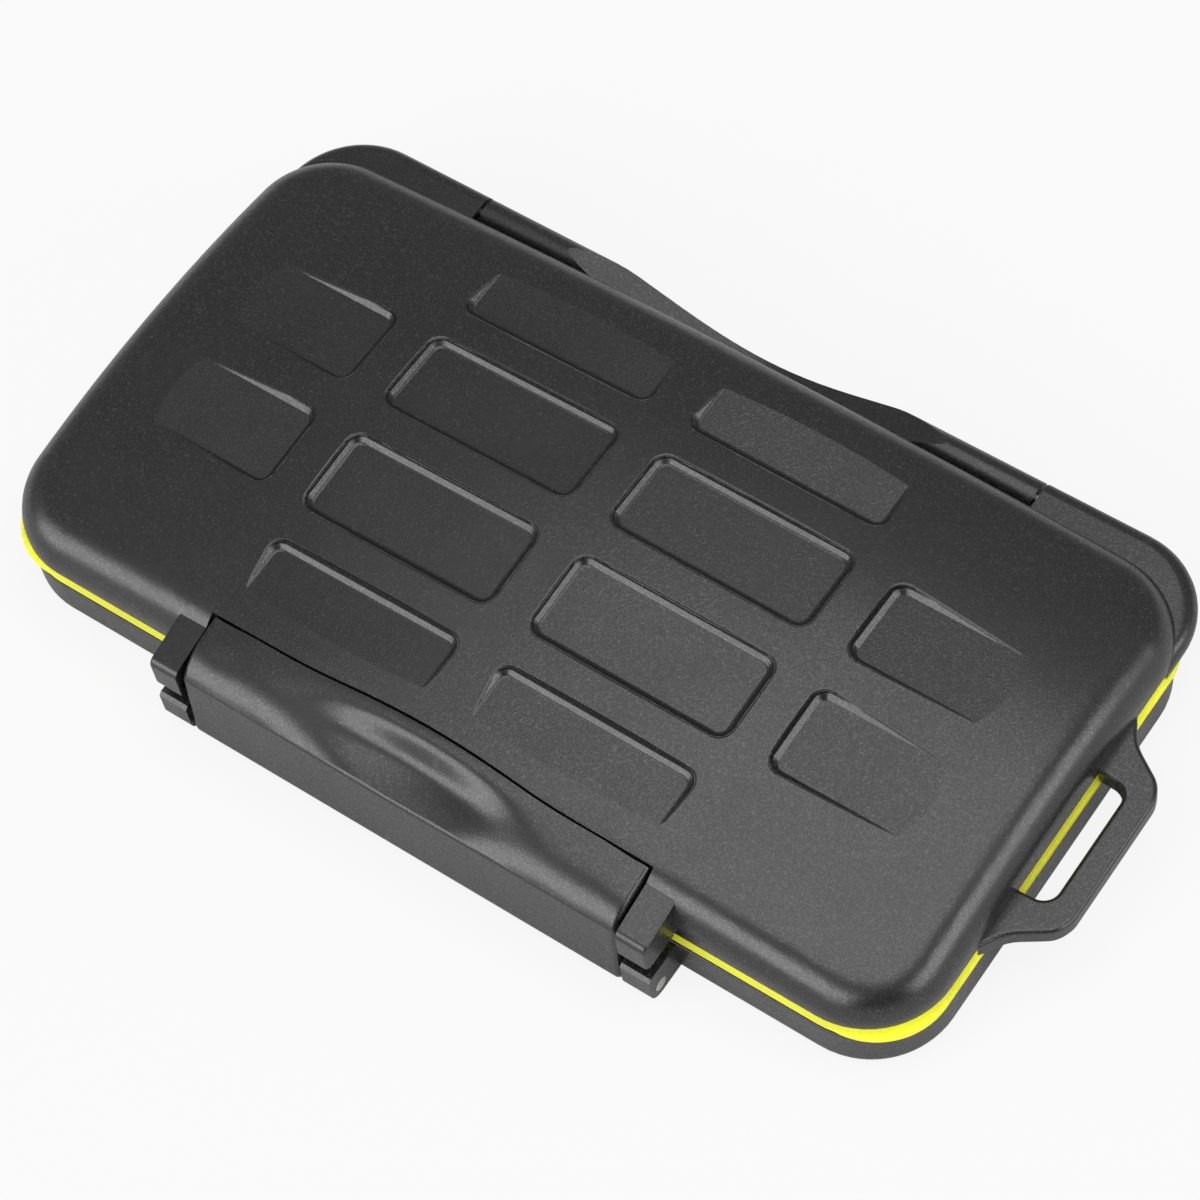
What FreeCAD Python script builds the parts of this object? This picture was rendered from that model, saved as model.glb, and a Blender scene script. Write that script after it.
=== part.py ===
"""Hard case for memory cards, closed and latched, in millimetres.

X runs along the length, +Y points to the hinge and +Z up. The origin is the
middle of the flat underside of the base. Each piece is written to its own file.
"""
import FreeCAD
import Part
import math
import os

from FreeCAD import Placement, Rotation, Vector

# Overall body
body_length = 139.2
body_depth = 71.0
corner_radius = 11.6
case_height = 21.6
lid_share = 0.528
edge_round = 0.25

# Lid shell, crowned in both directions
crown_share_along = 0.239
crown_share_across = 0.34
edge_share = 0.526
lid_wall = 2.0
lid_top = 2.2

# Seam: the liner's edge shows as a band under the lid's rim
band_height = 2.4
band_inset = 0.1
seam_gap = 0.6

# Base shell
base_wall = 2.0
base_floor = 1.8
base_edge_radius = 1.9

# Moulded pattern on the lid
brick_length = 29.9
brick_width = 13.0
brick_gap_along = 5.15
brick_gap_across = 4.4
brick_depth = 1.15
brick_slope = 1.1
brick_corner = 1.2
brick_floor_round = 0.5
brick_rim_round = 0.5
brick_wall_lean = 25.0
end_floor_rise = 0.0044
side_floor_rise = -0.0136
brick_reach = 20.0
brick_tool_height = 3.0

# Latch flap
latch_set_in = 36.6
latch_reach = 3.05
latch_bulge = 0.95
latch_bulge_length = 38.0
latch_bulge_fullness = 0.6
latch_gap = 0.35
latch_sink = 0.05
latch_lip = 1.6
latch_ridge_out = 4.95
latch_ridge_rise = 3.6
latch_swell = 0.7
latch_scoop_length = 44.0
latch_scoop_upper = 1.25
latch_scoop_lower = 0.7
latch_upper_share = 0.38
latch_lower_share = 0.7
latch_wall = 2.0
latch_rib = 1.4
latch_rib_count = 5
latch_rib_setback = 0.5
latch_stations = 13
latch_round = 0.8

# Ears on both sides of the latch
ear_gap = 0.4
ear_width = 4.3
ear_front = 5.5
ear_drop = 1.0
ear_sink = 1.1
ear_nose = 1.3
ear_round = 0.4
ear_foot_chamfer = 0.5
ear_clear = 2.5

# Latch pins
pin_radius = 1.0
running_clearance = 0.05
latch_pin_out = 3.8
latch_pin_z = 2.7
latch_barrel_radius = 2.0
latch_pin_depth = 8.0

# Hinge
hinge_out = 3.2
hinge_drop = 0.6
knuckle_radius = 2.3
shoulder_length = 26.7
knuckle_gap = 0.5
knuckle_foot_z = 1.6
knuckle_foot_chamfer = 1.0
knuckle_rim_drop = 0.3
knuckle_scoop = 7.0
knuckle_scoop_length = 60.0
knuckle_scoop_fullness = 0.8
hinge_pin_inner = 7.0
hinge_pin_outer = 18.5
shoulder_height = 4.4
shoulder_round = 2.05

# Lanyard loop
loop_rise = 0.8
loop_thickness = 3.0
loop_reach = 7.8
loop_root_half = 20.5
loop_waist_out = 1.9
loop_waist_half = 14.9
loop_shoulder_out = 6.9
loop_shoulder_half = 11.6
loop_outer_half = 9.3
loop_bend = 7.0
loop_corner = 4.0
slot_width = 4.3
slot_inner_half = 9.3
slot_outer_half = 9.0
slot_corner = 2.2
loop_round = 0.6

# Card liners
liner_clearance = 0.1
liner_depth = 5.4
card_length = 32.0
card_width = 24.0
card_clearance = 0.3
card_columns = 3
pocket_depth = 2.6
pocket_gap_along = 8.4
pocket_gap_across = 4.6
pocket_corner = 0.8
finger_radius = 6.5
finger_extra = 0.8
bead_width = 1.6
bead_inset = 0.7
bead_clearance = 0.1

# Helper allowances for joining and cutting solids
overlap = 1.3
reach = 40.0
skin = 0.05
margin = 1.0

lid_height = case_height * lid_share
lid_rim_z = case_height - lid_height
lid_edge_radius = lid_height * edge_share
base_rim_z = lid_rim_z - band_height - seam_gap
band_z = lid_rim_z - band_height
front_y = -body_depth / 2
back_y = body_depth / 2
side_x = body_length / 2
latch_length = body_length - 2 * latch_set_in
latch_ridge_z = lid_rim_z + latch_ridge_rise
ear_inner_x = latch_length / 2 + ear_gap
ear_outer_x = ear_inner_x + ear_width
ear_front_y = front_y - ear_front
latch_pin_y = front_y - latch_pin_out
hinge_y = back_y + hinge_out
hinge_z = lid_rim_z - hinge_drop
knuckle_length = body_length - 2 * shoulder_length
loop_top_z = lid_rim_z + loop_rise
ear_bottom_z = lid_rim_z - ear_drop
base_ear_z = ear_bottom_z - ear_clear


def arc_radius(half, drop):
    """Radius of an arc that falls by a drop at half its length."""
    return (half ** 2 + drop ** 2) / (2 * drop)


crown_radius_along = arc_radius(side_x, lid_height * crown_share_along)
crown_radius_across = arc_radius(back_y, lid_height * crown_share_across)
X_AXIS = Vector(1, 0, 0)
Y_AXIS = Vector(0, 1, 0)
Z_AXIS = Vector(0, 0, 1)


def rounded_rectangle(length, depth, radius, z, center_y=0.0):
    """Closed wire of a rounded rectangle in a level plane."""
    hx = length / 2
    hy = depth / 2
    edges = []
    turns = ((1, 1, 0), (-1, 1, 90), (-1, -1, 180), (1, -1, 270))
    arcs = []
    for sx, sy, start in turns:
        middle = Vector(sx * (hx - radius), center_y + sy * (hy - radius), z)
        arc = []
        for step in (0, 45, 90):
            angle = math.radians(start + step)
            arc.append(middle + Vector(radius * math.cos(angle), radius * math.sin(angle), 0))
        arcs.append(arc)
    for index, arc in enumerate(arcs):
        edges.append(Part.Arc(*arc).toShape())
        edges.append(Part.makeLine(arc[2], arcs[(index + 1) % len(arcs)][0]))
    return Part.Wire(edges)


def body_prism(inset, z0, z1, center_y=0.0):
    """Upright block on the case's outline, set in by a distance."""
    length = body_length - 2 * inset
    depth = body_depth - 2 * inset
    wire = rounded_rectangle(length, depth, corner_radius - inset, z0, center_y)
    return Part.Face(wire).extrude(Vector(0, 0, z1 - z0))


def profile_prism(points, x0, x1):
    """Block with a straight-sided profile of (y, z) points, drawn along X."""
    corners = [Vector(x0, y, z) for y, z in points]
    wire = Part.makePolygon(corners + corners[:1])
    return Part.Face(wire).extrude(Vector(x1 - x0, 0, 0))


def box(x0, x1, y0, y1, z0, z1):
    """Block between two opposite corners."""
    return Part.makeBox(x1 - x0, y1 - y0, z1 - z0, Vector(x0, y0, z0))


def rod(radius, x0, x1, y, z):
    """Round bar along X."""
    return Part.makeCylinder(radius, x1 - x0, Vector(x0, y, z), X_AXIS)


def rounded_polygon(points, z):
    """Closed wire through (x, y, radius) corners in a level plane."""
    count = len(points)
    cuts = []
    for index, (x, y, radius) in enumerate(points):
        here = Vector(x, y, z)
        before = Vector(points[index - 1][0], points[index - 1][1], z)
        after = Vector(points[(index + 1) % count][0], points[(index + 1) % count][1], z)
        if radius == 0:
            cuts.append((here, None, here))
            continue
        back = (before - here).normalize()
        ahead = (after - here).normalize()
        half = back.getAngle(ahead) / 2
        length = radius / math.tan(half)
        bisector = (back + ahead).normalize()
        center = here + bisector * (radius / math.sin(half))
        cuts.append((here + back * length, center - bisector * radius, here + ahead * length))
    edges = []
    for index, (start, middle, end) in enumerate(cuts):
        if middle is not None:
            edges.append(Part.Arc(start, middle, end).toShape())
        edges.append(Part.makeLine(end, cuts[(index + 1) % count][0]))
    return Part.Wire(edges)


def spline(points):
    """Smooth edge through a list of points."""
    curve = Part.BSplineCurve()
    curve.interpolate(points)
    return curve.toShape()


def wave(x, length):
    """Smooth swell that is 1 in the middle of a length and 0 at its ends."""
    share = min(1.0, abs(2 * x / length))
    return math.cos(share * math.pi / 2) ** 2


def steps(half, count):
    """Evenly spaced places from -half to +half."""
    return [half * (2 * index / (count - 1) - 1) for index in range(count)]


def crown_z(x, y):
    """Height of the crowned lid top at a place."""
    turn = crown_radius_along - crown_radius_across
    distance = turn + math.sqrt(crown_radius_across ** 2 - y ** 2)
    return case_height - crown_radius_along + math.sqrt(distance ** 2 - x ** 2)


def crown_block(drop):
    """Ring whose outside is the crowned lid top, lowered by a thickness."""
    middle = Vector(0, 0, case_height - crown_radius_along)
    turn = crown_radius_along - crown_radius_across
    return Part.makeTorus(turn, crown_radius_across - drop, middle, Y_AXIS)


def crowned_body(inset, drop, radius, z0):
    """Body block with the crowned top and a rounded upper edge."""
    block = body_prism(inset, z0, case_height + margin).common(crown_block(drop))
    return soften_top(block, radius)


def soften_top(block, radius):
    """Rounds the edges of a block's highest face."""
    top = max(block.Faces, key=lambda face: face.CenterOfMass.z)
    return block.makeFillet(radius, top.Edges)


def soften_foot(block, radius):
    """Rounds the edges of a block's lowest face."""
    foot = min(block.Faces, key=lambda face: face.CenterOfMass.z)
    return block.makeFillet(radius, foot.Edges)


def latch_edge_y(x):
    """Place of the latch's upper edge, which swells towards the lid's middle."""
    swell = wave(x, latch_bulge_length) ** latch_bulge_fullness
    return front_y + latch_reach + latch_bulge * swell


def latch_bay(offset, z0, z1):
    """Space in the lid's front that the latch flap needs, grown by a distance."""
    half = ear_inner_x + offset
    line = []
    for x in steps(half, latch_stations):
        line.append(Vector(x, latch_edge_y(x) + latch_gap + offset, z0))
    left = Vector(-half, front_y - reach, z0)
    right = Vector(half, front_y - reach, z0)
    edges = [spline(line)]
    edges.append(Part.makeLine(line[-1], right))
    edges.append(Part.makeLine(right, left))
    edges.append(Part.makeLine(left, line[0]))
    return Part.Face(Part.Wire(edges)).extrude(Vector(0, 0, z1 - z0))


def brick_tool(place, normal, x0, x1, y0, y1):
    """Cutter with a level floor and sloped walls, set on a tilted plane."""
    middle_x = (x0 + x1) / 2
    middle_y = (y0 + y1) / 2
    run = brick_tool_height * brick_slope / brick_depth
    floor = rounded_rectangle(x1 - x0, y1 - y0, brick_corner, 0)
    rim = rounded_rectangle(x1 - x0 + 2 * run, y1 - y0 + 2 * run, brick_corner + run, brick_tool_height)
    tool = Part.makeLoft([floor, rim], True, True)
    tool.translate(Vector(middle_x, middle_y, 0))
    tool.Placement = Placement(place, Rotation(Z_AXIS, normal)).multiply(tool.Placement)
    return tool


def brick_tools():
    """Cutters of the lid's pattern: whole ones inside, open ones at the edges."""
    tools = []
    inner_x = brick_gap_along / 2
    inner_y = brick_gap_across / 2
    middle_x = inner_x + brick_length / 2
    middle_y = inner_y + brick_width / 2
    end_x = inner_x + brick_length + brick_gap_along
    end_y = inner_y + brick_width + brick_gap_across
    half_length = brick_length / 2 - brick_slope
    half_width = brick_width / 2 - brick_slope
    for sx in (-1, 1):
        for sy in (-1, 1):
            x = sx * middle_x
            y = sy * middle_y
            lean_x = x / crown_radius_along
            lean_y = y / crown_radius_across
            place = Vector(x, y, crown_z(x, y) - brick_depth)
            normal = Vector(lean_x, lean_y, 1)
            tool = brick_tool(place, normal, -half_length, half_length, -half_width, half_width)
            tools.append(soften_foot(tool, brick_floor_round))
            place = Vector(sx * end_x, y, crown_z(end_x, y) - brick_depth)
            normal = Vector(-sx * end_floor_rise, lean_y, 1)
            far = sorted((sx * brick_slope, sx * (brick_length + brick_reach)))
            tools.append(brick_tool(place, normal, far[0], far[1], -half_width, half_width))
            place = Vector(x, sy * end_y, crown_z(x, end_y) - brick_depth)
            normal = Vector(lean_x, -sy * side_floor_rise, 1)
            far = sorted((sy * brick_slope, sy * (brick_width + brick_reach)))
            tool = brick_tool(place, normal, -half_length, half_length, far[0], far[1])
            tools.append(soften_foot(tool, brick_floor_round))
    return tools


def is_crown(face):
    """Tells whether a face belongs to the lid's crowned top."""
    surface = face.Surface
    if not isinstance(surface, Part.Toroid):
        return False
    return surface.MajorRadius > crown_radius_across


def brick_rims(lid):
    """Edges where the steep walls of the pattern meet the crowned top."""
    holes = []
    for face in filter(is_crown, lid.Faces):
        for wire in face.Wires:
            if not wire.isSame(face.OuterWire):
                holes.extend(wire.Edges)
    rims = []
    for face in lid.Faces:
        if is_crown(face):
            continue
        for edge in face.Edges:
            if not any(edge.isSame(hole) for hole in holes):
                continue
            leans = []
            for vertex in edge.Vertexes:
                place = face.Surface.parameter(vertex.Point)
                leans.append(face.normalAt(*place).getAngle(Z_AXIS))
            if min(leans) > math.radians(brick_wall_lean):
                rims.append(edge)
    return rims


def ear_bridge():
    """Forward part of the lid that the latch bay splits into two ears."""
    points = [
        (front_y, ear_bottom_z),
        (ear_front_y + ear_foot_chamfer, ear_bottom_z),
        (ear_front_y, ear_bottom_z + ear_foot_chamfer),
        (ear_front_y, case_height),
        (front_y + lid_edge_radius + overlap, case_height),
        (front_y + lid_edge_radius + overlap, lid_rim_z),
        (front_y, lid_rim_z),
    ]
    bridge = profile_prism(points, -ear_outer_x, ear_outer_x).common(crown_block(ear_sink))
    front = min(bridge.Faces, key=lambda face: face.CenterOfMass.y)
    bridge = bridge.makeFillet(ear_nose, [max(front.Edges, key=lambda edge: edge.CenterOfMass.z)])
    edges = []
    for face in bridge.Faces:
        if abs(face.CenterOfMass.x) > ear_outer_x - skin:
            edges.extend(edge for edge in face.Edges if edge.CenterOfMass.y < front_y - skin)
    return bridge.makeFillet(ear_round, edges)


def lid_shoulders():
    """Rounded shoulders behind the lid that carry the hinge pins."""
    z0 = hinge_z - shoulder_height / 2
    z1 = hinge_z + shoulder_height / 2
    bar = body_prism(0, z0, z1, hinge_out + knuckle_radius)
    rims = []
    for edge in bar.Edges:
        heights = [vertex.Point.z for vertex in edge.Vertexes]
        if max(heights) - min(heights) < skin:
            rims.append(edge)
    bar = bar.makeFillet(shoulder_round, rims)
    start_y = back_y - corner_radius + skin
    inner_x = knuckle_length / 2 + knuckle_gap
    keep = box(-side_x - reach, side_x + reach, start_y, back_y + reach, z0 - margin, z1 + margin)
    gap = box(-inner_x, inner_x, start_y - margin, back_y + reach, z0 - margin, z1 + margin)
    bar = bar.common(keep).cut(gap)
    bar = bar.cut(body_prism(-skin, z0 - margin, lid_rim_z))
    return bar.cut(body_prism(overlap, lid_rim_z - skin, z1 + margin))


def lanyard_loop():
    """Flat loop on the lid's right end with a slot for a cord."""
    z0 = loop_top_z - loop_thickness
    root_x = side_x - overlap
    arm = [
        (root_x, loop_root_half, 0),
        (side_x + loop_waist_out, loop_waist_half, loop_bend),
        (side_x + loop_shoulder_out, loop_shoulder_half, loop_corner),
        (side_x + loop_reach, loop_outer_half, loop_corner),
    ]
    outline = arm + [(x, -y, radius) for x, y, radius in reversed(arm)]
    plate = Part.Face(rounded_polygon(outline, z0)).extrude(Vector(0, 0, loop_thickness))
    slot = [
        (root_x - margin, slot_inner_half, 0),
        (side_x + slot_width, slot_outer_half, slot_corner),
        (side_x + slot_width, -slot_outer_half, slot_corner),
        (root_x - margin, -slot_inner_half, 0),
    ]
    rise = Vector(0, 0, loop_thickness + 2 * margin)
    plate = plate.cut(Part.Face(rounded_polygon(slot, z0 - margin)).extrude(rise))
    edges = []
    for edge in plate.Edges:
        size = edge.BoundBox
        if size.ZLength < skin and size.XMax > root_x + skin:
            edges.append(edge)
    plate = plate.makeFillet(loop_round, edges)
    return plate.cut(body_prism(-skin, z0 - margin, lid_rim_z))


def lid_shell():
    """Crowned lid with its pattern, ears, shoulders and loop."""
    shell = crowned_body(0, 0, lid_edge_radius, lid_rim_z)
    shell = soften_foot(shell, edge_round).cut(brick_tools())
    shell = shell.makeFillet(brick_rim_round, brick_rims(shell))
    shell = shell.fuse(ear_bridge())
    shell = shell.cut(latch_bay(0, ear_bottom_z - margin, case_height + margin))
    hollow = crowned_body(lid_wall, lid_top, lid_edge_radius - lid_wall, lid_rim_z - margin)
    hollow = hollow.cut(latch_bay(lid_wall, ear_bottom_z - 2 * margin, case_height + margin))
    shell = shell.cut(hollow)
    shell = shell.fuse(lid_shoulders()).fuse(lanyard_loop())
    inner_x = knuckle_length / 2 + knuckle_gap
    for sx in (-1, 1):
        ends = sorted((sx * (inner_x - margin), sx * side_x))
        shell = shell.cut(rod(pin_radius, ends[0], ends[1], hinge_y, hinge_z))
    return shell.removeSplitter()


def base_ear(x0, x1):
    """Ear at the base's front that holds a latch pin."""
    root_y = front_y + overlap
    radius = latch_barrel_radius
    ear_y = latch_pin_y - radius
    foot_z = latch_pin_z - radius
    top = ear_foot_chamfer
    upper = [
        (root_y, latch_pin_z),
        (ear_y, latch_pin_z),
        (ear_y, base_ear_z - top),
        (ear_y + top, base_ear_z),
        (root_y, base_ear_z),
    ]
    ear = profile_prism(upper, x0, x1)
    ear = ear.fuse(box(x0, x1, latch_pin_y, root_y, foot_z, latch_pin_z))
    return ear.fuse(rod(radius, x0, x1, latch_pin_y, latch_pin_z))


def hinge_knuckle():
    """Long barrel behind the base, scooped out in the middle of its top."""
    half = knuckle_length / 2
    inner_y = hinge_y - knuckle_radius
    outer_y = hinge_y + knuckle_radius
    root_y = back_y - overlap
    rim = base_rim_z - knuckle_rim_drop
    points = [
        Vector(-half, inner_y, hinge_z),
        Vector(-half, inner_y, rim),
        Vector(-half, root_y, rim),
        Vector(-half, root_y, knuckle_foot_z),
        Vector(-half, outer_y - knuckle_foot_chamfer, knuckle_foot_z),
        Vector(-half, outer_y, knuckle_foot_z + knuckle_foot_chamfer),
        Vector(-half, outer_y, hinge_z),
    ]
    edges = [Part.makeLine(a, b) for a, b in zip(points, points[1:])]
    crest = Vector(-half, hinge_y, hinge_z + knuckle_radius)
    edges.append(Part.Arc(points[-1], crest, points[0]).toShape())
    barrel = Part.Face(Part.Wire(edges)).extrude(Vector(knuckle_length, 0, 0))
    top = hinge_z + knuckle_radius + skin
    line = []
    for x in steps(knuckle_scoop_length / 2, latch_stations):
        dip = wave(x, knuckle_scoop_length) ** knuckle_scoop_fullness
        line.append(Vector(x, back_y, top - knuckle_scoop * dip))
    left = line[0] + Vector(0, 0, reach)
    right = line[-1] + Vector(0, 0, reach)
    rim_edges = [spline(line)]
    rim_edges.append(Part.makeLine(line[-1], right))
    rim_edges.append(Part.makeLine(right, left))
    rim_edges.append(Part.makeLine(left, line[0]))
    scoop = Part.Face(Part.Wire(rim_edges)).extrude(Vector(0, reach, 0))
    barrel = barrel.cut(scoop)
    bore = pin_radius + running_clearance
    for sx in (-1, 1):
        ends = sorted((sx * (half - hinge_pin_inner - running_clearance), sx * (half + margin)))
        barrel = barrel.cut(rod(bore, ends[0], ends[1], hinge_y, hinge_z))
    return barrel


def base_shell():
    """Shallow base with the latch ears and the hinge barrel."""
    shell = soften_foot(body_prism(0, 0, base_rim_z), base_edge_radius)
    shell = soften_top(shell, edge_round)
    shell = shell.cut(body_prism(base_wall, base_floor, base_rim_z + margin))
    for x0, x1 in ((-ear_outer_x, -ear_inner_x), (ear_inner_x, ear_outer_x)):
        ear = base_ear(x0, x1).cut(rod(pin_radius, x0 - margin, x1 + margin, latch_pin_y, latch_pin_z))
        shell = shell.fuse(ear)
    return shell.fuse(hinge_knuckle()).removeSplitter()


def card_pockets(z0, z1, finger_z0, finger_z1):
    """Cutters of the card pockets and the finger holes between them."""
    tools = []
    length = card_length + 2 * card_clearance
    width = card_width + 2 * card_clearance
    pitch = length + pocket_gap_along
    row_y = (pocket_gap_across + width) / 2
    for index in range(card_columns):
        x = (index - (card_columns - 1) / 2) * pitch
        for sy in (-1, 1):
            wire = rounded_rectangle(length, width, pocket_corner, z0, sy * row_y)
            tool = Part.Face(wire).extrude(Vector(0, 0, z1 - z0))
            tool.translate(Vector(x, 0, 0))
            tools.append(tool)
        finger = Part.makeCylinder(finger_radius, finger_z1 - finger_z0, Vector(x, 0, finger_z0))
        tools.append(finger)
    return tools


def base_liner():
    """Soft tray in the base with card pockets and a raised sealing bead."""
    inset = base_wall + liner_clearance
    tray = body_prism(inset, base_floor, base_rim_z)
    bead_top = band_z - bead_clearance
    bead = body_prism(inset + bead_inset, base_floor, bead_top)
    bead = bead.cut(body_prism(inset + bead_inset + bead_width, base_floor - margin, bead_top + margin))
    tray = tray.fuse(bead)
    floor = base_rim_z - pocket_depth
    tools = card_pockets(floor, bead_top + margin, floor - finger_extra, bead_top + margin)
    return tray.cut(tools).removeSplitter()


def lid_liner():
    """Soft tray in the lid, with the edge that shows in the seam."""
    inset = lid_wall + liner_clearance
    top = band_z + liner_depth
    tray = crowned_body(inset, lid_top + liner_clearance, lid_edge_radius - inset, band_z)
    tray = tray.common(body_prism(inset, band_z, top))
    tray = tray.cut(latch_bay(inset, band_z - margin, top + margin))
    band = body_prism(band_inset, band_z, lid_rim_z)
    band = band.cut(latch_bay(band_inset, band_z - margin, lid_rim_z + margin))
    floor = band_z + pocket_depth
    tools = card_pockets(band_z - margin, floor, band_z - margin, floor + finger_extra)
    return tray.fuse(band).cut(tools).removeSplitter()


def latch_section(x):
    """Hooked cross-section of the latch flap at a place along its length."""
    dip = wave(x, latch_scoop_length)
    lip_y = latch_edge_y(x)
    lip = Vector(x, lip_y, crown_z(x, lip_y) - latch_sink)
    roll_y = lip_y - latch_lip
    roll = Vector(x, roll_y, crown_z(x, roll_y) - latch_sink)
    ridge = Vector(x, front_y - latch_ridge_out, latch_ridge_z)
    along = ridge - roll
    outward = Vector(0, along.z, -along.y).normalize()
    face = [lip, roll]
    for share, scoop in ((latch_upper_share, latch_scoop_upper), (latch_lower_share, latch_scoop_lower)):
        offset = latch_swell * (1 - dip) - scoop * dip
        face.append(roll + along * share + outward * offset)
    face.append(ridge)
    foot = Vector(x, latch_pin_y - latch_barrel_radius, latch_pin_z)
    inner_foot = foot + Vector(0, latch_wall, 0)
    inner_ridge = ridge + Vector(0, latch_wall, -latch_wall / 2)
    inner_lip = lip - Vector(0, 0, latch_wall + latch_scoop_upper * dip)
    corners = [ridge, foot, inner_foot, inner_ridge, inner_lip, lip]
    edges = [spline(face)]
    for start, end in zip(corners, corners[1:]):
        edges.append(Part.makeLine(start, end))
    return Part.Wire(edges)


def latch():
    """Wide latch flap with a scooped face, ribs inside and a pivot barrel."""
    half = latch_length / 2
    flap = Part.makeLoft([latch_section(x) for x in steps(half, latch_stations)], True, False)
    ridge_y = front_y - latch_ridge_out
    barrel = rod(latch_barrel_radius, -half, half, latch_pin_y, latch_pin_z)
    flap = flap.fuse(barrel)
    rib = [
        (latch_pin_y - latch_barrel_radius + latch_wall / 2, latch_pin_z),
        (front_y - latch_rib_setback, latch_pin_z),
        (front_y - latch_rib_setback, latch_ridge_z),
        (ridge_y + latch_wall / 2, latch_ridge_z - latch_wall / 4),
    ]
    for x in steps(half - latch_rib / 2, latch_rib_count):
        flap = flap.fuse(profile_prism(rib, x - latch_rib / 2, x + latch_rib / 2))
    flap = flap.removeSplitter()
    corner = Vector(half, ridge_y, latch_ridge_z)
    edges = []
    for edge in flap.Edges:
        ends = [Vector(abs(vertex.X), vertex.Y, vertex.Z) for vertex in edge.Vertexes]
        if any(end.distanceToPoint(corner) < skin for end in ends):
            edges.append(edge)
    flap = flap.makeFillet(latch_round, edges)
    bore = pin_radius + running_clearance
    for sx in (-1, 1):
        ends = sorted((sx * (half - latch_pin_depth), sx * (half + margin)))
        flap = flap.cut(rod(bore, ends[0], ends[1], latch_pin_y, latch_pin_z))
    return flap.removeSplitter()


def latch_pin(sx):
    """Steel pin through an ear of the base into one end of the latch."""
    inner = latch_length / 2 - latch_pin_depth + running_clearance
    ends = sorted((sx * inner, sx * ear_outer_x))
    return rod(pin_radius, ends[0], ends[1], latch_pin_y, latch_pin_z)


def hinge_pin(sx):
    """Steel pin from a shoulder of the lid into one end of the hinge barrel."""
    half = knuckle_length / 2
    ends = sorted((sx * (half - hinge_pin_inner), sx * (half + knuckle_gap + hinge_pin_outer)))
    return rod(pin_radius, ends[0], ends[1], hinge_y, hinge_z)


def main():
    """Builds each piece and writes it to its own file."""
    pieces = {
        "base_shell": base_shell(),
        "base_liner": base_liner(),
        "lid_shell": lid_shell(),
        "lid_liner": lid_liner(),
        "latch": latch(),
        "latch_pin_left": latch_pin(-1),
        "latch_pin_right": latch_pin(1),
        "hinge_pin_left": hinge_pin(-1),
        "hinge_pin_right": hinge_pin(1),
    }
    os.makedirs("parts", exist_ok=True)
    for name, shape in pieces.items():
        shape.Solids[0].exportStep("parts/" + name + ".step")
        print(name, len(shape.Solids), shape.isValid(), round(shape.Volume, 1))


main()
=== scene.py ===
"""Looks of a hard case for memory cards: finishes, seam beads, soft studio light and camera."""

import logging
from dataclasses import dataclass, field
from enum import Enum
from math import pi
from typing import Any, Dict, List, Optional, Sequence, Tuple, Union

import bmesh
import bpy
from mathutils import Matrix, Vector


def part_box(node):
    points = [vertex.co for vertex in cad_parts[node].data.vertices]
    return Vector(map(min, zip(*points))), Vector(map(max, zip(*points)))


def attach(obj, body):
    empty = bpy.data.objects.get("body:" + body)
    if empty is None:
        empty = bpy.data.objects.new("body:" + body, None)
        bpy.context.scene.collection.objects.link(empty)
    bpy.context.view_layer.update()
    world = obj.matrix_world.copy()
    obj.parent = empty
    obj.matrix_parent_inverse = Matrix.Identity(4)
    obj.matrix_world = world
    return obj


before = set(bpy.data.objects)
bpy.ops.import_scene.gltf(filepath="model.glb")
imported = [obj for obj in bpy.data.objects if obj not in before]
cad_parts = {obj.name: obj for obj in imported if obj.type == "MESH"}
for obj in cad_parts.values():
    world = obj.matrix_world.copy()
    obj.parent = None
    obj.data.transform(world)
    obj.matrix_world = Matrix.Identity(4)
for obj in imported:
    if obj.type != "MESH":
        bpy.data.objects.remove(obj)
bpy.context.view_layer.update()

LOG = logging.getLogger("card_case")
Color = Tuple[float, float, float]
Pair = Tuple[float, float]
Triple = Tuple[float, float, float]
UP: Triple = (0.0, 0.0, 1.0)


class PinAxis(Enum):
    """Middle lines of the two kinds of pins, as places across the case in metres."""

    LATCH = (0.0, -0.0393, 0.0027)
    HINGE = (0.0, 0.0387, 0.0095952)


class Side(Enum):
    """The two ends of the case, as signs along its length."""

    LEFT = -1.0
    RIGHT = 1.0


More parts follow.
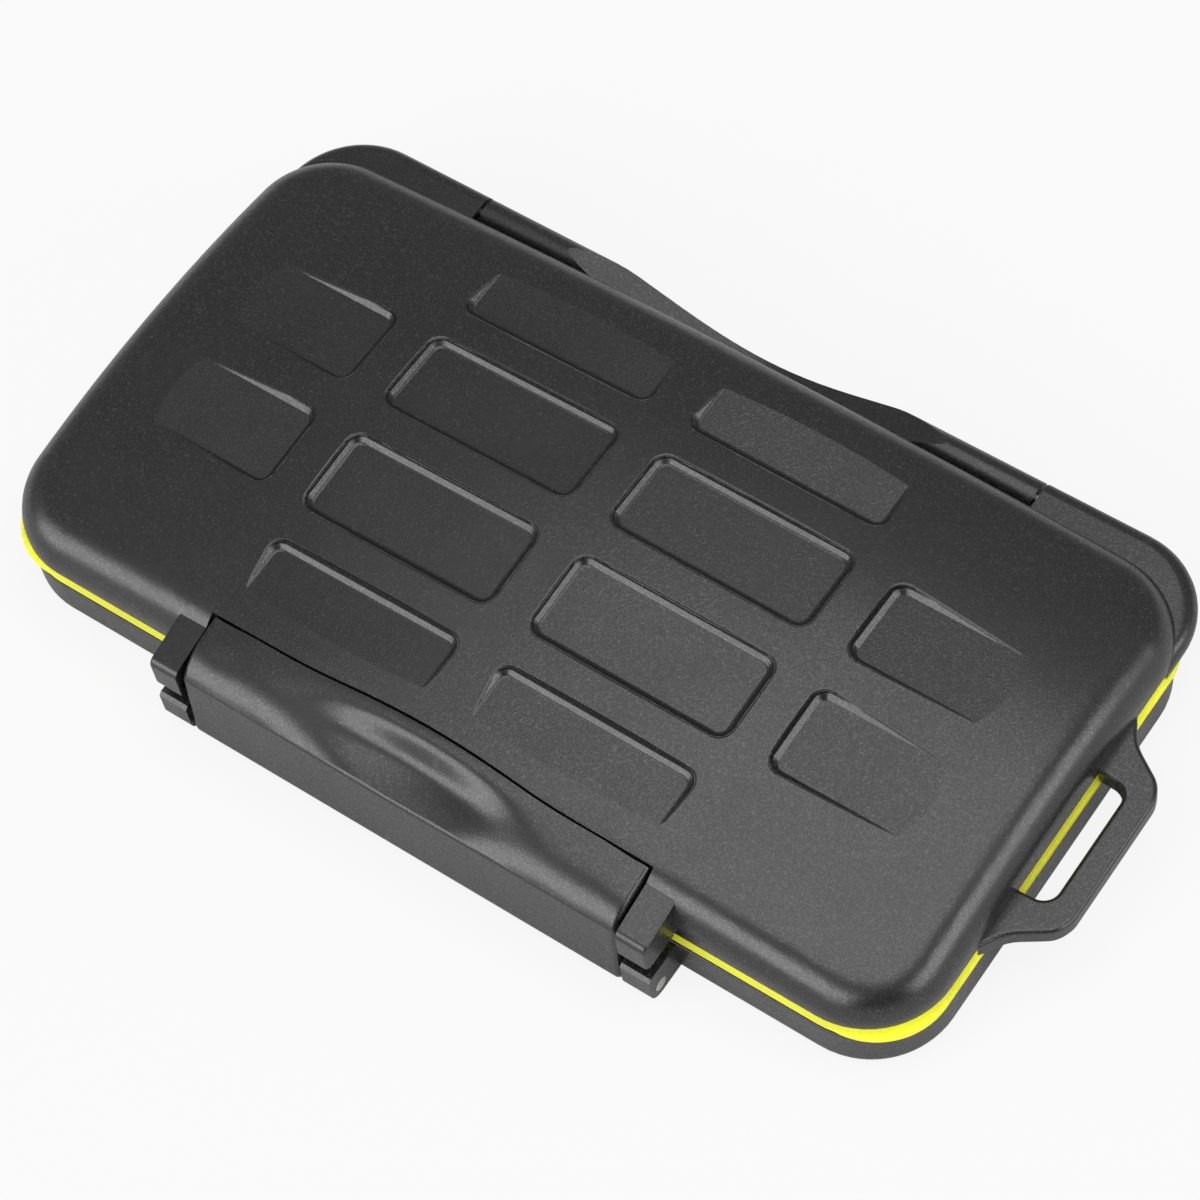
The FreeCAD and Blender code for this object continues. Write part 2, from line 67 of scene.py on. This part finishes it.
class Value:
    """One output of a material's nodes, with plain arithmetic."""

    def __init__(self, recipe: "Recipe", socket: Optional[bpy.types.NodeSocket]) -> None:
        """Keeps the recipe that the socket belongs to."""
        self.recipe = recipe
        self.socket = socket

    def _math(self, operation: str, first: Any, second: Any) -> "Value":
        """Adds a Math node for two values.

        Args:
            operation: The node's operation.
            first: A value or a number.
            second: A value or a number.

        Returns:
            The node's result.
        """
        return self.recipe.node("ShaderNodeMath", {"operation": operation}, {0: first, 1: second})

    def __add__(self, other: Any) -> "Value":
        """Sum with a value or a number."""
        return self._math("ADD", self, other)

    def __radd__(self, other: Any) -> "Value":
        """Sum with a number on the left."""
        return self._math("ADD", other, self)

    def __sub__(self, other: Any) -> "Value":
        """Difference from a value or a number."""
        return self._math("SUBTRACT", self, other)

    def __rsub__(self, other: Any) -> "Value":
        """Difference with a number on the left."""
        return self._math("SUBTRACT", other, self)

    def __mul__(self, other: Any) -> "Value":
        """Product with a value or a number."""
        return self._math("MULTIPLY", self, other)

    def __rmul__(self, other: Any) -> "Value":
        """Product with a number on the left."""
        return self._math("MULTIPLY", other, self)

    def __pow__(self, other: Any) -> "Value":
        """Power of a value."""
        return self._math("POWER", self, other)

    def at_most(self, other: Any) -> "Value":
        """Smaller of two values."""
        return self._math("MINIMUM", self, other)

    def at_least(self, other: Any) -> "Value":
        """Larger of two values."""
        return self._math("MAXIMUM", self, other)

    def size(self) -> "Value":
        """The value without its sign."""
        return self._math("ABSOLUTE", self, 0.0)

    def wrapped(self, period: float) -> "Value":
        """Remainder after whole periods."""
        return self._math("FLOORED_MODULO", self, period)


class Recipe:
    """Node tree of one material or world, built one node at a time."""

    def __init__(self, tree: bpy.types.NodeTree) -> None:
        """Starts with an empty tree."""
        self.tree = tree
        tree.nodes.clear()

    def node(
        self,
        kind: str,
        settings: Dict[str, Any],
        inputs: Dict[Union[str, int], Any],
        output: Union[str, int] = 0,
    ) -> Value:
        """Adds a node.

        Args:
            kind: The node's type.
            settings: Attributes that are set first; "stops" are a ramp's places and colours.
            inputs: Values, links or numbers by socket name or number.
            output: Name or number of the output that is handed back.

        Returns:
            The chosen output.
        """
        made = self.tree.nodes.new(kind)
        for name, setting in settings.items():
            if name == "stops":
                self._fill_ramp(made.color_ramp, setting)
            else:
                setattr(made, name, setting)
        for name, value in inputs.items():
            socket = made.inputs[name]
            if isinstance(value, Value):
                self.tree.links.new(value.socket, socket)
            else:
                socket.default_value = value
        if not made.outputs:
            return Value(self, None)
        return Value(self, made.outputs[output])

    def _fill_ramp(self, ramp: bpy.types.ColorRamp, stops: Sequence[Tuple[float, Color]]) -> None:
        """Sets a ramp's stops.

        Args:
            ramp: The ramp of a Color Ramp node.
            stops: Places from 0 to 1 with their colours.
        """
        while len(ramp.elements) < len(stops):
            ramp.elements.new(1.0)
        for element, (place, color) in zip(ramp.elements, stops):
            element.position = place
            element.color = (*color, 1.0)

    def place(self, middle: Triple = (0.0, 0.0, 0.0), scale: Triple = (1.0, 1.0, 1.0)) -> Value:
        """Object coordinates, moved and scaled.

        Args:
            middle: Point that becomes the pattern's origin, in metres.
            scale: Stretch along each axis.

        Returns:
            The coordinates.
        """
        coords = self.node("ShaderNodeTexCoord", {}, {}, "Object")
        shift = tuple(-m * s for m, s in zip(middle, scale))
        return self.node("ShaderNodeMapping", {}, {"Vector": coords, "Location": shift, "Scale": scale})

    def noise(self, coords: Value, size: float, detail: float, rough: float) -> Value:
        """Smooth noise.

        Args:
            coords: Coordinates in metres.
            size: Size of one grain in metres.
            detail: Octaves of finer noise.
            rough: Share of the finer noise.

        Returns:
            Values near 0.5.
        """
        inputs = {"Vector": coords, "Scale": 1.0 / size, "Detail": detail, "Roughness": rough}
        return self.node("ShaderNodeTexNoise", {}, inputs, "Fac")

    def cells(self, coords: Value, size: float) -> Value:
        """Small round pits side by side.

        Args:
            coords: Coordinates in metres.
            size: Size of one pit in metres.

        Returns:
            The distance from the nearest pit's middle, from 0 to about 1.
        """
        inputs = {"Vector": coords, "Scale": 1.0 / size, "Randomness": 1.0}
        return self.node("ShaderNodeTexVoronoi", {"feature": "F1"}, inputs, "Distance")

    def stretch(self, value: Value, old: Pair, new: Pair = (0.0, 1.0), kind: str = "LINEAR") -> Value:
        """Maps a range to another, clamped.

        Args:
            value: What is mapped.
            old: The two ends of the old range.
            new: What these ends become.
            kind: How values in between are found.

        Returns:
            The mapped value.
        """
        low, high = old
        start, end = new
        inputs = {"Value": value, "From Min": low, "From Max": high, "To Min": start, "To Max": end}
        return self.node("ShaderNodeMapRange", {"clamp": True, "interpolation_type": kind}, inputs)

    def part(self, vector: Value, axis: str) -> Value:
        """One coordinate of a vector.

        Args:
            vector: The vector.
            axis: X, Y or Z.

        Returns:
            The coordinate.
        """
        return self.node("ShaderNodeSeparateXYZ", {}, {"Vector": vector}, axis)

    def mix_color(self, share: Value, first: Color, second: Color) -> Value:
        """Blend of two colours.

        Args:
            share: How much of the second colour there is.
            first: Colour at 0.
            second: Colour at 1.

        Returns:
            The blended colour.
        """
        settings = {"data_type": "RGBA"}
        return self.node("ShaderNodeMix", settings, {0: share, 6: (*first, 1.0), 7: (*second, 1.0)}, 2)

    def bump(self, height: Value, depth: float = 1.0, strength: float = 1.0) -> Value:
        """Fine relief.

        Args:
            height: The relief's height.
            depth: Length of one unit of height in metres.
            strength: Share of the relief that shows.

        Returns:
            The normal.
        """
        return self.node("ShaderNodeBump", {}, {"Height": height, "Distance": depth, "Strength": strength})

    def surface(self, inputs: Dict[str, Any]) -> None:
        """Ends the tree in a Principled shader.

        Args:
            inputs: Values, links or numbers by socket name.
        """
        shader = self.node("ShaderNodeBsdfPrincipled", {}, inputs)
        self.node("ShaderNodeOutputMaterial", {}, {"Surface": shader})


def new_material(name: str) -> Tuple[bpy.types.Material, Recipe]:
    """Makes a material with an empty node tree.

    Args:
        name: The material's name.

    Returns:
        The material and the recipe that fills it.
    """
    material = bpy.data.materials.new(name)
    material.use_nodes = True
    return material, Recipe(material.node_tree)


def new_object(name: str, shape: bmesh.types.BMesh, material: bpy.types.Material) -> bpy.types.Object:
    """Turns a finished shape into an object of the scene.

    Args:
        name: The object's name.
        shape: The shape, which is used up.
        material: Its finish.

    Returns:
        The object.
    """
    mesh = bpy.data.meshes.new(name)
    shape.to_mesh(mesh)
    shape.free()
    mesh.materials.append(material)
    made = bpy.data.objects.new(name, mesh)
    bpy.context.scene.collection.objects.link(made)
    LOG.info("%s in %s", name, material.name)
    return made


@dataclass(frozen=True)
class BrickWalls:
    """Steep upper edge of the walls round the bricks that are sunk into the lid.

    Lengths are in metres. The foot and the rim are distances from a brick's outline, and the
    slope is how far a surface points up where a wall goes over into a flat face.
    """

    pitch: Pair = (0.03505, 0.0174)
    half: Pair = (0.01495, 0.0065)
    corner: float = 0.0023
    reach: Pair = (0.064, 0.0295)
    fade: float = 0.001
    foot: float = -0.00054
    rim: float = 0.00002
    rise: float = 0.0006
    slope: Pair = (0.8, 0.92)

    def relief(self, recipe: Recipe) -> Value:
        """Builds the relief.

        Args:
            recipe: The tree of the lid's finish.

        Returns:
            The height in metres that is added to the walls.
        """
        coords = recipe.place()
        beyond: List[Value] = []
        inside: List[Value] = []
        for axis, pitch, half, reach in zip("XY", self.pitch, self.half, self.reach):
            along = recipe.part(coords, axis).size()
            from_middle = (along.wrapped(pitch) - pitch / 2).size()
            beyond.append((from_middle - (half - self.corner)).at_least(0.0))
            inside.append(recipe.stretch(along, (reach, reach + self.fade), (1.0, 0.0)))
        distance = (beyond[0] ** 2.0 + beyond[1] ** 2.0) ** 0.5 - self.corner
        facing = recipe.node("ShaderNodeTexCoord", {}, {}, "Normal")
        wall = recipe.stretch(recipe.part(facing, "Z"), self.slope, (1.0, 0.0))
        height = recipe.stretch(distance, (self.foot, self.rim), (0.0, self.rise), "SMOOTHSTEP")
        return height * wall * inside[0] * inside[1]


@dataclass(frozen=True)
class MouldedGrain:
    """Black plastic from a mould with a fine spark-eroded grain.

    Lengths are in metres. Pits and a mottle make the grain, and cloudy is the share of the slow
    clouds in its colour. Each span is the part of a pattern's range that is used.
    """

    name: str = "shell_moulded_grain"
    dark: Color = (0.001, 0.001, 0.0011)
    light: Color = (0.047, 0.047, 0.0476)
    pit: float = 0.00024
    mottle: float = 0.00055
    cloud: float = 0.018
    cloudy: float = 0.1
    contrast: float = 3.0
    depth: float = 0.000007
    grain_span: Pair = (0.2, 0.75)
    sheen_span: Pair = (0.2, 0.8)
    roughness: Pair = (0.42, 0.2)
    gloss: float = 0.74
    bricks: Optional[BrickWalls] = None

    def make(self) -> bpy.types.Material:
        """Builds the material.

        Returns:
            The material.
        """
        material, recipe = new_material(self.name)
        coords = recipe.place()
        pits = recipe.cells(coords, self.pit)
        mottle = recipe.noise(coords, self.mottle, detail=4.0, rough=0.7)
        cloud = recipe.noise(coords, self.cloud, detail=3.0, rough=0.6)
        grain = recipe.stretch(0.5 * pits + 0.5 * mottle, self.grain_span)
        shade = (grain * (1.0 - self.cloudy) + cloud * self.cloudy) ** self.contrast
        height = grain * self.depth
        if self.bricks:
            height = height + self.bricks.relief(recipe)
        recipe.surface({
            "Base Color": recipe.mix_color(shade, self.dark, self.light),
            "Roughness": recipe.stretch(0.5 * cloud + 0.5 * grain, self.sheen_span, self.roughness),
            "Specular IOR Level": self.gloss,
            "Normal": recipe.bump(height),
        })
        return material


@dataclass(frozen=True)
class SoftElastomer:
    """Bright yellow soft plastic of the card trays and the seam.

    Lengths are in metres. The span is the part of a pattern's range that is used, and the glow
    is the light that passes through the plastic.
    """

    name: str = "liner_soft_yellow"
    deep: Color = (0.72, 0.72, 0.012)
    bright: Color = (0.9, 0.9, 0.035)
    grain: float = 0.0006
    cloud: float = 0.012
    cloudy: float = 0.6
    span: Pair = (0.3, 0.7)
    depth: float = 0.00003
    strength: float = 0.35
    roughness: Pair = (0.46, 0.6)
    glow: float = 0.12
    glow_reach: Triple = (0.0012, 0.001, 0.0003)

    def make(self) -> bpy.types.Material:
        """Builds the material.

        Returns:
            The material.
        """
        material, recipe = new_material(self.name)
        coords = recipe.place()
        grain = recipe.noise(coords, self.grain, detail=2.0, rough=0.5)
        cloud = recipe.noise(coords, self.cloud, detail=2.0, rough=0.5)
        share = recipe.stretch(self.cloudy * cloud + (1.0 - self.cloudy) * grain, self.span)
        recipe.surface({
            "Base Color": recipe.mix_color(share, self.deep, self.bright),
            "Roughness": recipe.stretch(cloud, self.span, self.roughness),
            "Subsurface Weight": self.glow,
            "Subsurface Radius": self.glow_reach,
            "Normal": recipe.bump(grain, self.depth, self.strength),
        })
        return material


@dataclass(frozen=True)
class GroundSteel:
    """Ground steel of the pins, with fine rings round their middle line.

    Lengths are in metres. The scratches are rings, as far as ringed says, and else streaks.
    """

    axis: PinAxis
    name: str = "pin_ground_steel"
    deep: Color = (0.5, 0.5, 0.51)
    bright: Color = (0.78, 0.78, 0.79)
    ring: float = 0.00012
    ringed: float = 0.4
    streak: float = 0.0004
    streak_scale: Triple = (1.0, 0.1, 0.1)
    span: Pair = (0.2, 0.8)
    roughness: Pair = (0.34, 0.2)
    depth: float = 0.000004
    strength: float = 0.5

    def make(self) -> bpy.types.Material:
        """Builds the material.

        Returns:
            The material.
        """
        material, recipe = new_material(f"{self.name}_{self.axis.name.lower()}")
        across = recipe.place(self.axis.value, (0.0, 1.0, 1.0))
        radius = recipe.node("ShaderNodeVectorMath", {"operation": "LENGTH"}, {0: across}, "Value")
        turns = radius * (1.0 / self.ring)
        rings = recipe.node("ShaderNodeMath", {"operation": "PINGPONG"}, {0: turns, 1: 1.0})
        drawn_out = recipe.place(self.axis.value, self.streak_scale)
        streaks = recipe.noise(drawn_out, self.streak, detail=2.0, rough=0.6)
        scratch = recipe.stretch(self.ringed * rings + (1.0 - self.ringed) * streaks, self.span)
        recipe.surface({
            "Base Color": recipe.mix_color(scratch, self.deep, self.bright),
            "Metallic": 1.0,
            "Roughness": recipe.stretch(scratch, (0.0, 1.0), self.roughness),
            "Normal": recipe.bump(scratch, self.depth, self.strength),
        })
        return material


@dataclass(frozen=True)
class PaleFloor:
    """White paper floor that keeps a faint shadow."""

    name: str = "floor_white_paper"
    color: Color = (0.58, 0.58, 0.58)
    lift: float = 0.86
    mirrored: float = 0.1

    def make(self) -> bpy.types.Material:
        """Builds the material.

        Returns:
            The material.
        """
        material, recipe = new_material(self.name)
        path = seen_directly(recipe, self.lift, self.mirrored)
        paper = recipe.node("ShaderNodeBsdfDiffuse", {}, {"Color": (*self.color, 1.0)})
        glow = recipe.node("ShaderNodeEmission", {}, {"Color": (1.0, 1.0, 1.0, 1.0), "Strength": 1.0})
        mixed = recipe.node("ShaderNodeMixShader", {}, {0: path, 1: paper, 2: glow})
        recipe.node("ShaderNodeOutputMaterial", {}, {"Surface": mixed})
        return material


def seen_directly(recipe: Recipe, lift: float, mirrored: float) -> Value:
    """Tells rays that show the background from rays that light the case.

    Args:
        recipe: The tree that asks.
        lift: Share of plain white for rays from the camera.
        mirrored: Share of plain white for mirror and see-through rays.

    Returns:
        The share of plain white, 0 for all other rays.
    """
    camera = recipe.node("ShaderNodeLightPath", {}, {}, "Is Camera Ray")
    glossy = recipe.node("ShaderNodeLightPath", {}, {}, "Is Glossy Ray")
    through = recipe.node("ShaderNodeLightPath", {}, {}, "Is Transmission Ray")
    return (camera * lift + (glossy + through) * mirrored).at_most(1.0)


@dataclass
class SubAssembly:
    """Pieces of the case that share a finish and a slot of the record."""

    name: str
    nodes: List[str]
    slot: str

    def dress(self, material: bpy.types.Material) -> None:
        """Gives the pieces their finish.

        Args:
            material: The finish that replaces the plain one.
        """
        for node in self.nodes:
            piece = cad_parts[node]
            for place in piece.material_slots:
                place.material = material
            low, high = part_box(node)
            size = [round((b - a) * 1000, 1) for a, b in zip(low, high)]
            LOG.info("%s: %s in %s, %s mm", self.name, node, material.name, size)


@dataclass
class Shells(SubAssembly):
    """Black base and latch flap."""

    name: str = "shells"
    nodes: List[str] = field(default_factory=lambda: ["base_shell", "latch"])
    slot: str = "shell"
    finish: MouldedGrain = MouldedGrain()

    def build(self) -> None:
        """Dresses the shells."""
        self.dress(self.finish.make())


@dataclass
class Lid(Shells):
    """Black lid with its sunk bricks."""

    name: str = "lid"
    nodes: List[str] = field(default_factory=lambda: ["lid_shell"])
    finish: MouldedGrain = MouldedGrain(name="lid_moulded_grain", bricks=BrickWalls())


@dataclass(frozen=True)
class SeamLip:
    """Yellow bead of the lid's tray that stands out of the seam round one end of the case.

    Lengths are in metres. Its corners are tighter than the case's, so it shows most there,
    and on the front and the back it lies inside the tray.
    """

    side: Side
    half: Pair = (0.06995, 0.03535)
    corner: float = 0.0098
    start: float = 0.05
    height: float = 0.0083
    section: Pair = (0.0009, 0.00045)
    sides: int = 20
    steps: int = 24

    def build(self, material: bpy.types.Material, slot: str) -> None:
        """Adds the bead, which moves with the lid.

        Args:
            material: The tray's finish.
            slot: Not used.
        """
        shape = bmesh.new()
        middle = Vector((self.half[0] - self.corner, self.half[1] - self.corner, 0.0))
        front = Vector((middle.x - self.start, 0.0, 0.0))
        end = Vector((0.0, 2.0 * middle.y, 0.0))
        tip = self.pull(shape, self.cut(shape), front)
        tip = self.bend(shape, tip, middle - end)
        tip = self.pull(shape, tip, end)
        tip = self.bend(shape, tip, middle)
        self.pull(shape, tip, -front)
        self.clear(shape)
        bmesh.ops.scale(shape, vec=(self.side.value, 1.0, 1.0), verts=shape.verts[:])
        bmesh.ops.recalc_face_normals(shape, faces=shape.faces[:])
        for face in shape.faces:
            face.smooth = len(face.verts) == 4
        lip = new_object(f"seam_lip_{self.side.name.lower()}", shape, material)
        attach(lip, "lid")

    def cut(self, shape: bmesh.types.BMesh) -> bmesh.types.BMFace:
        """Draws the bead's oval section at its start on the front.

        Args:
            shape: The empty shape.

        Returns:
            The section.
        """
        bmesh.ops.create_circle(shape, cap_ends=True, segments=self.sides, radius=1.0)
        depth, rise = self.section
        upright = Matrix(((0.0, 0.0, 1.0), (depth, 0.0, 0.0), (0.0, rise, 0.0))).to_4x4()
        place = Matrix.Translation((self.start, depth - self.half[1], self.height))
        bmesh.ops.transform(shape, matrix=place @ upright, verts=shape.verts[:])
        return shape.faces[:][0]

    def pull(self, shape: bmesh.types.BMesh, tip: bmesh.types.BMFace, way: Vector) -> bmesh.types.BMFace:
        """Lengthens the bead.

        Args:
            shape: The bead so far.
            tip: Its end face.
            way: How far the end face goes.

        Returns:
            The new end face.
        """
        made = bmesh.ops.extrude_face_region(shape, geom=[tip])["geom"]
        moved = [piece for piece in made if isinstance(piece, bmesh.types.BMVert)]
        bmesh.ops.translate(shape, vec=way, verts=moved)
        return next(piece for piece in made if isinstance(piece, bmesh.types.BMFace))

    def bend(self, shape: bmesh.types.BMesh, tip: bmesh.types.BMFace, middle: Vector) -> bmesh.types.BMFace:
        """Takes the bead round a corner.

        Args:
            shape: The bead so far.
            tip: Its end face.
            middle: The middle of the corner's arc.

        Returns:
            The new end face.
        """
        turned = [tip, *tip.edges, *tip.verts]
        made = bmesh.ops.spin(shape, geom=turned, cent=middle, axis=UP, angle=pi / 2, steps=self.steps)
        return next(piece for piece in made["geom_last"] if isinstance(piece, bmesh.types.BMFace))

    def clear(self, shape: bmesh.types.BMesh) -> None:
        """Takes out the walls that the bends leave inside the bead.

        Args:
            shape: The whole bead.
        """
        inner = [face for face in shape.faces if all(len(edge.link_faces) > 2 for edge in face.edges)]
        bmesh.ops.delete(shape, geom=inner, context="FACES_ONLY")


@dataclass
class CardTrays(SubAssembly):
    """Soft trays that hold the cards and show in the seam."""

    name: str = "card trays"
    nodes: List[str] = field(default_factory=lambda: ["base_liner", "lid_liner"])
    slot: str = "liner"
    finish: SoftElastomer = SoftElastomer()

    def build(self) -> None:
        """Dresses the trays and adds the beads at the ends of the seam."""
        material = self.finish.make()
        self.dress(material)
        for side in Side:
            SeamLip(side).build(material, self.slot)


@dataclass
class Pins(SubAssembly):
    """Steel pins of one joint."""

    axis: PinAxis = PinAxis.LATCH
    name: str = "pins"
    nodes: List[str] = field(default_factory=list)
    slot: str = "pin"

    def build(self) -> None:
        """Finds the joint's pins and dresses them."""
        self.nodes = [f"{self.axis.name}_pin_{side.name}".lower() for side in Side]
        self.dress(GroundSteel(self.axis).make())


@dataclass
class Softbox:
    """One large soft lamp that faces a point on the case. Lengths are in metres."""

    name: str
    place: Triple
    size: Pair
    radiance: float
    target: Triple = (0.0, 0.0, 0.01)

    def build(self) -> None:
        """Adds the lamp."""
        lamp = bpy.data.lights.new(self.name, "AREA")
        lamp.shape = "RECTANGLE"
        lamp.size, lamp.size_y = self.size
        lamp.energy = self.radiance * pi * lamp.size * lamp.size_y
        holder = bpy.data.objects.new(self.name, lamp)
        aim = Vector(self.target) - Vector(self.place)
        turn = aim.to_track_quat("-Z", "Y").to_matrix().to_4x4()
        holder.matrix_world = Matrix.Translation(self.place) @ turn
        bpy.context.scene.collection.objects.link(holder)
        LOG.info("lamp %s", self.name)


@dataclass
class Studio:
    """White floor, soft light and the camera.

    Lengths are in metres, lens and sensor in millimetres. The room's pairs are heights, from the
    horizon, 0, to straight up, 1, each with its light. The room is dimmer behind the case and on the
    viewer's side, and each span says where that dimming starts and ends.
    """

    floor_half: float = 3.0
    room: Tuple[Pair, ...] = ((0.0, 0.25), (0.25, 0.35), (0.6, 0.38), (1.0, 0.1))
    behind_span: Pair = (0.0, 0.7)
    dim_behind: float = 0.9
    viewer: Triple = (0.7071, -0.7071, 0.0)
    viewer_span: Pair = (0.6, 0.9)
    dim_viewer: float = 0.2
    lens: float = 117.921
    sensor: float = 36.0
    nearest: float = 0.01
    eye: Triple = (0.181046, -0.179336, 0.43506)
    right: Triple = (0.817319, 0.566636, -0.104467)
    up: Triple = (-0.450704, 0.741683, 0.496761)
    back: Triple = (0.358965, -0.358928, 0.861577)
    lamps: List[Softbox] = field(default_factory=lambda: [
        Softbox("softbox_front", (-0.37, -0.97, 0.43), (1.6, 0.64), 3.5),
        Softbox("softbox_overhead", (0.134, -0.01, 1.092), (1.28, 1.23), 2.03),
        Softbox("softbox_right", (1.04, 0.12, 0.36), (1.05, 0.52), 3.2),
    ])

    def build(self) -> None:
        """Sets up the whole studio."""
        self.build_floor()
        self.build_world()
        for lamp in self.lamps:
            lamp.build()
        self.build_camera()

    def build_floor(self) -> None:
        """Adds the floor under the case."""
        shape = bmesh.new()
        bmesh.ops.create_grid(shape, x_segments=2, y_segments=2, size=self.floor_half)
        floor = new_object("floor", shape, PaleFloor().make())

    def build_world(self) -> None:
        """Adds the even light of a white room with a dimmer ceiling."""
        world = bpy.data.worlds.new("white_room")
        world.use_nodes = True
        recipe = Recipe(world.node_tree)
        toward = recipe.node("ShaderNodeTexCoord", {}, {}, "Generated")
        stops = [(place, (level, level, level)) for place, level in self.room]
        color = recipe.node("ShaderNodeValToRGB", {"stops": stops}, {"Fac": recipe.part(toward, "Z")})
        behind = recipe.stretch(recipe.part(toward, "Y"), self.behind_span, (1.0, self.dim_behind))
        facing = {0: toward, 1: self.viewer}
        share = recipe.node("ShaderNodeVectorMath", {"operation": "DOT_PRODUCT"}, facing, "Value")
        viewer = recipe.stretch(share, self.viewer_span, (1.0, self.dim_viewer))
        light = recipe.node("ShaderNodeBackground", {}, {"Color": color, "Strength": viewer * behind})
        recipe.node("ShaderNodeOutputWorld", {}, {"Surface": light})
        bpy.context.scene.world = world
        LOG.info("white room")

    def build_camera(self) -> None:
        """Adds the camera at the place that the perspective of the case gives."""
        data = bpy.data.cameras.new("camera")
        data.lens = self.lens
        data.sensor_width = self.sensor
        data.sensor_fit = "HORIZONTAL"
        data.clip_start = self.nearest
        camera = bpy.data.objects.new("camera", data)
        turn = Matrix((self.right, self.up, self.back)).transposed().to_4x4()
        camera.matrix_world = Matrix.Translation(self.eye) @ turn
        bpy.context.scene.collection.objects.link(camera)
        bpy.context.scene.camera = camera
        LOG.info("camera")


def main() -> None:
    """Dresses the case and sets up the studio."""
    logging.basicConfig(level=logging.INFO, format="%(name)s: %(message)s")
    Shells().build()
    Lid().build()
    CardTrays().build()
    for axis in PinAxis:
        Pins(axis=axis).build()
    Studio().build()
    bpy.context.scene.view_settings.view_transform = "Standard"


if __name__ == "__main__":
    main()
